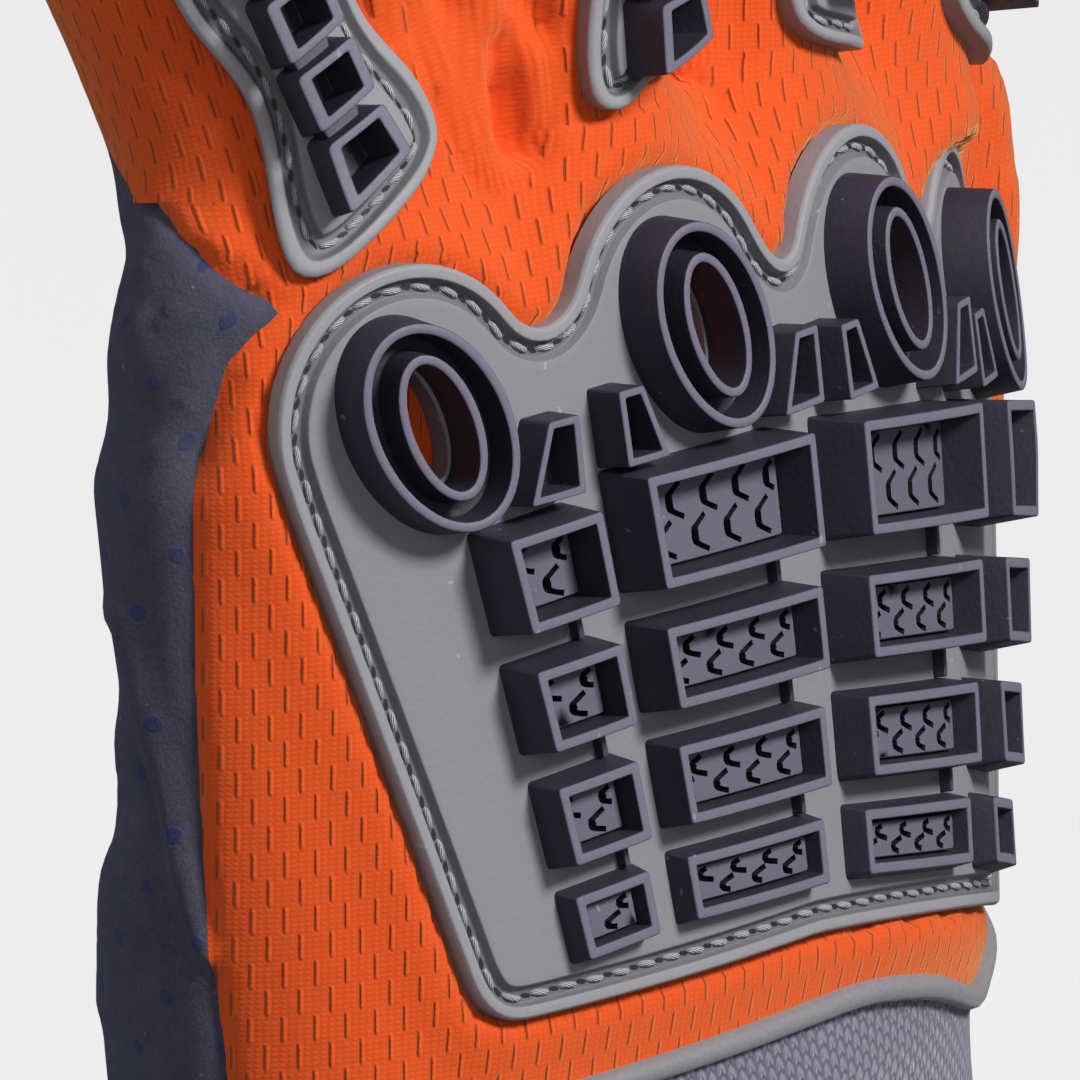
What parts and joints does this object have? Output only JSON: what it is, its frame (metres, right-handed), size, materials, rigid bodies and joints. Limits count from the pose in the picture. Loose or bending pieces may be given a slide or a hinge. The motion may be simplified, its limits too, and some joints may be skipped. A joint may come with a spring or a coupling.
{
  "type": "impact glove",
  "caption": "Left-hand work glove in mesh knit and palm fabric, with moulded rubber impact guards over the knuckles, hand back and fingers.",
  "frame": {"origin": "centre of the wrist opening, in the plane of the cuff's hem", "axes": "+Z towards the fingertips, -Y out of the back of the hand, +X towards the index finger"},
  "size_m": [0.1124, 0.0829, 0.2147],
  "materials": {
    "mesh_knit": "orange slotted mesh knit",
    "palm_fabric": "dark grey suede-like fabric with small blue dots",
    "cuff_knit": "grey ribbed knit",
    "tape": "smooth grey tape",
    "grey_rubber": "matte light grey moulded rubber",
    "dark_rubber": "matte dark moulded rubber"
  },
  "bodies": {
    "root": {"cuff": "cuff_knit", "back_panel": "mesh_knit", "palm_panel": "palm_fabric", "little_finger_back": "mesh_knit", "little_finger_front": "palm_fabric", "ring_finger_back": "mesh_knit", "ring_finger_front": "palm_fabric", "middle_finger_back": "mesh_knit", "middle_finger_front": "palm_fabric", "index_finger_back": "mesh_knit", "index_finger_front": "palm_fabric", "thumb_back": "mesh_knit", "thumb_front": "palm_fabric", "cuff_binding": "tape", "hand_guard_base": "grey_rubber", "knuckle_ring_little": "dark_rubber", "knuckle_ring_ring": "dark_rubber", "knuckle_ring_middle": "dark_rubber", "knuckle_ring_index": "dark_rubber", "tapered_frame_1a": "dark_rubber", "tapered_frame_1b": "dark_rubber", "tapered_frame_2a": "dark_rubber", "tapered_frame_2b": "dark_rubber", "tapered_frame_3a": "dark_rubber", "tapered_frame_3b": "dark_rubber", "frame_row1_column1": "dark_rubber", "frame_row1_column2": "dark_rubber", "frame_row1_column3": "dark_rubber", "frame_row1_column4": "dark_rubber", "frame_row2_column1": "dark_rubber", "frame_row2_column2": "dark_rubber", "frame_row2_column3": "dark_rubber", "frame_row2_column4": "dark_rubber", "frame_row3_column1": "dark_rubber", "frame_row3_column2": "dark_rubber", "frame_row3_column3": "dark_rubber", "frame_row3_column4": "dark_rubber", "frame_row4_column1": "dark_rubber", "frame_row4_column2": "dark_rubber", "frame_row4_column3": "dark_rubber", "frame_row4_column4": "dark_rubber", "little_finger_guard": "grey_rubber", "little_finger_ladder": "dark_rubber", "ring_finger_guard": "grey_rubber", "ring_finger_ladder": "dark_rubber", "middle_finger_guard": "grey_rubber", "middle_finger_ladder": "dark_rubber", "index_finger_guard": "grey_rubber", "index_finger_ladder": "dark_rubber"}
  },
  "joints": []
}
